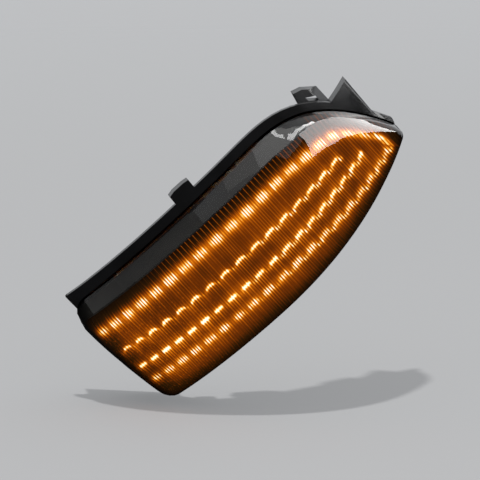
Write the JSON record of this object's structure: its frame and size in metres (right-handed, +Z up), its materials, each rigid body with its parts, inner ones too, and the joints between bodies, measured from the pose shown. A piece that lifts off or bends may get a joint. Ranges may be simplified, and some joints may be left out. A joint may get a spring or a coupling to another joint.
{
  "type": "mirror turn signal lamp",
  "caption": "Bowed amber turn signal lamp for a door mirror, with a fluted smoked lens, black housing, snap tab and corner bracket.",
  "frame": {"origin": "midway between the two rear fixing screw bores, on the face that they clamp", "axes": "+X along the lamp from its blunt end to its tip, +Y backwards out of the fixing bores into the mirror, +Z up"},
  "size_m": [0.1492, 0.0701, 0.0664],
  "materials": {
    "housing_plastic": "black moulded, satin with a fine grain",
    "smoked_lens": "smoked amber, polished outside, fluted inside",
    "black_rubber": "black sealant",
    "carrier_plastic": "dark brown satin",
    "circuit_board": "green solder mask",
    "amber_light": "lit amber",
    "component_black": "black epoxy",
    "pin_metal": "tinned brass",
    "capacitor_can": "drawn aluminium",
    "seal_rubber": "red-brown silicone",
    "screw_steel": "zinc plated",
    "vent_membrane": "pale breathable membrane"
  },
  "bodies": {
    "root": {"rear_housing": "housing_plastic", "outer_lens": "smoked_lens", "lens_seal": "black_rubber", "led_carrier": "carrier_plastic", "led_strip_1": "circuit_board", "led_strip_2": "circuit_board", "led_strip_3": "circuit_board", "led_strip_4": "circuit_board", "led_row_1": "amber_light", "led_row_2": "amber_light", "led_row_3": "amber_light", "led_row_4": "amber_light", "strip_resistors": "component_black", "strip_pins": "pin_metal", "driver_board": "circuit_board", "driver_chip": "component_black", "protection_diode": "component_black", "capacitors": "capacitor_can", "resistors": "component_black", "connector_pins": "pin_metal", "connector_seal": "seal_rubber", "board_screws": "screw_steel", "carrier_screws": "screw_steel", "vent_patch": "vent_membrane"}
  },
  "joints": []
}
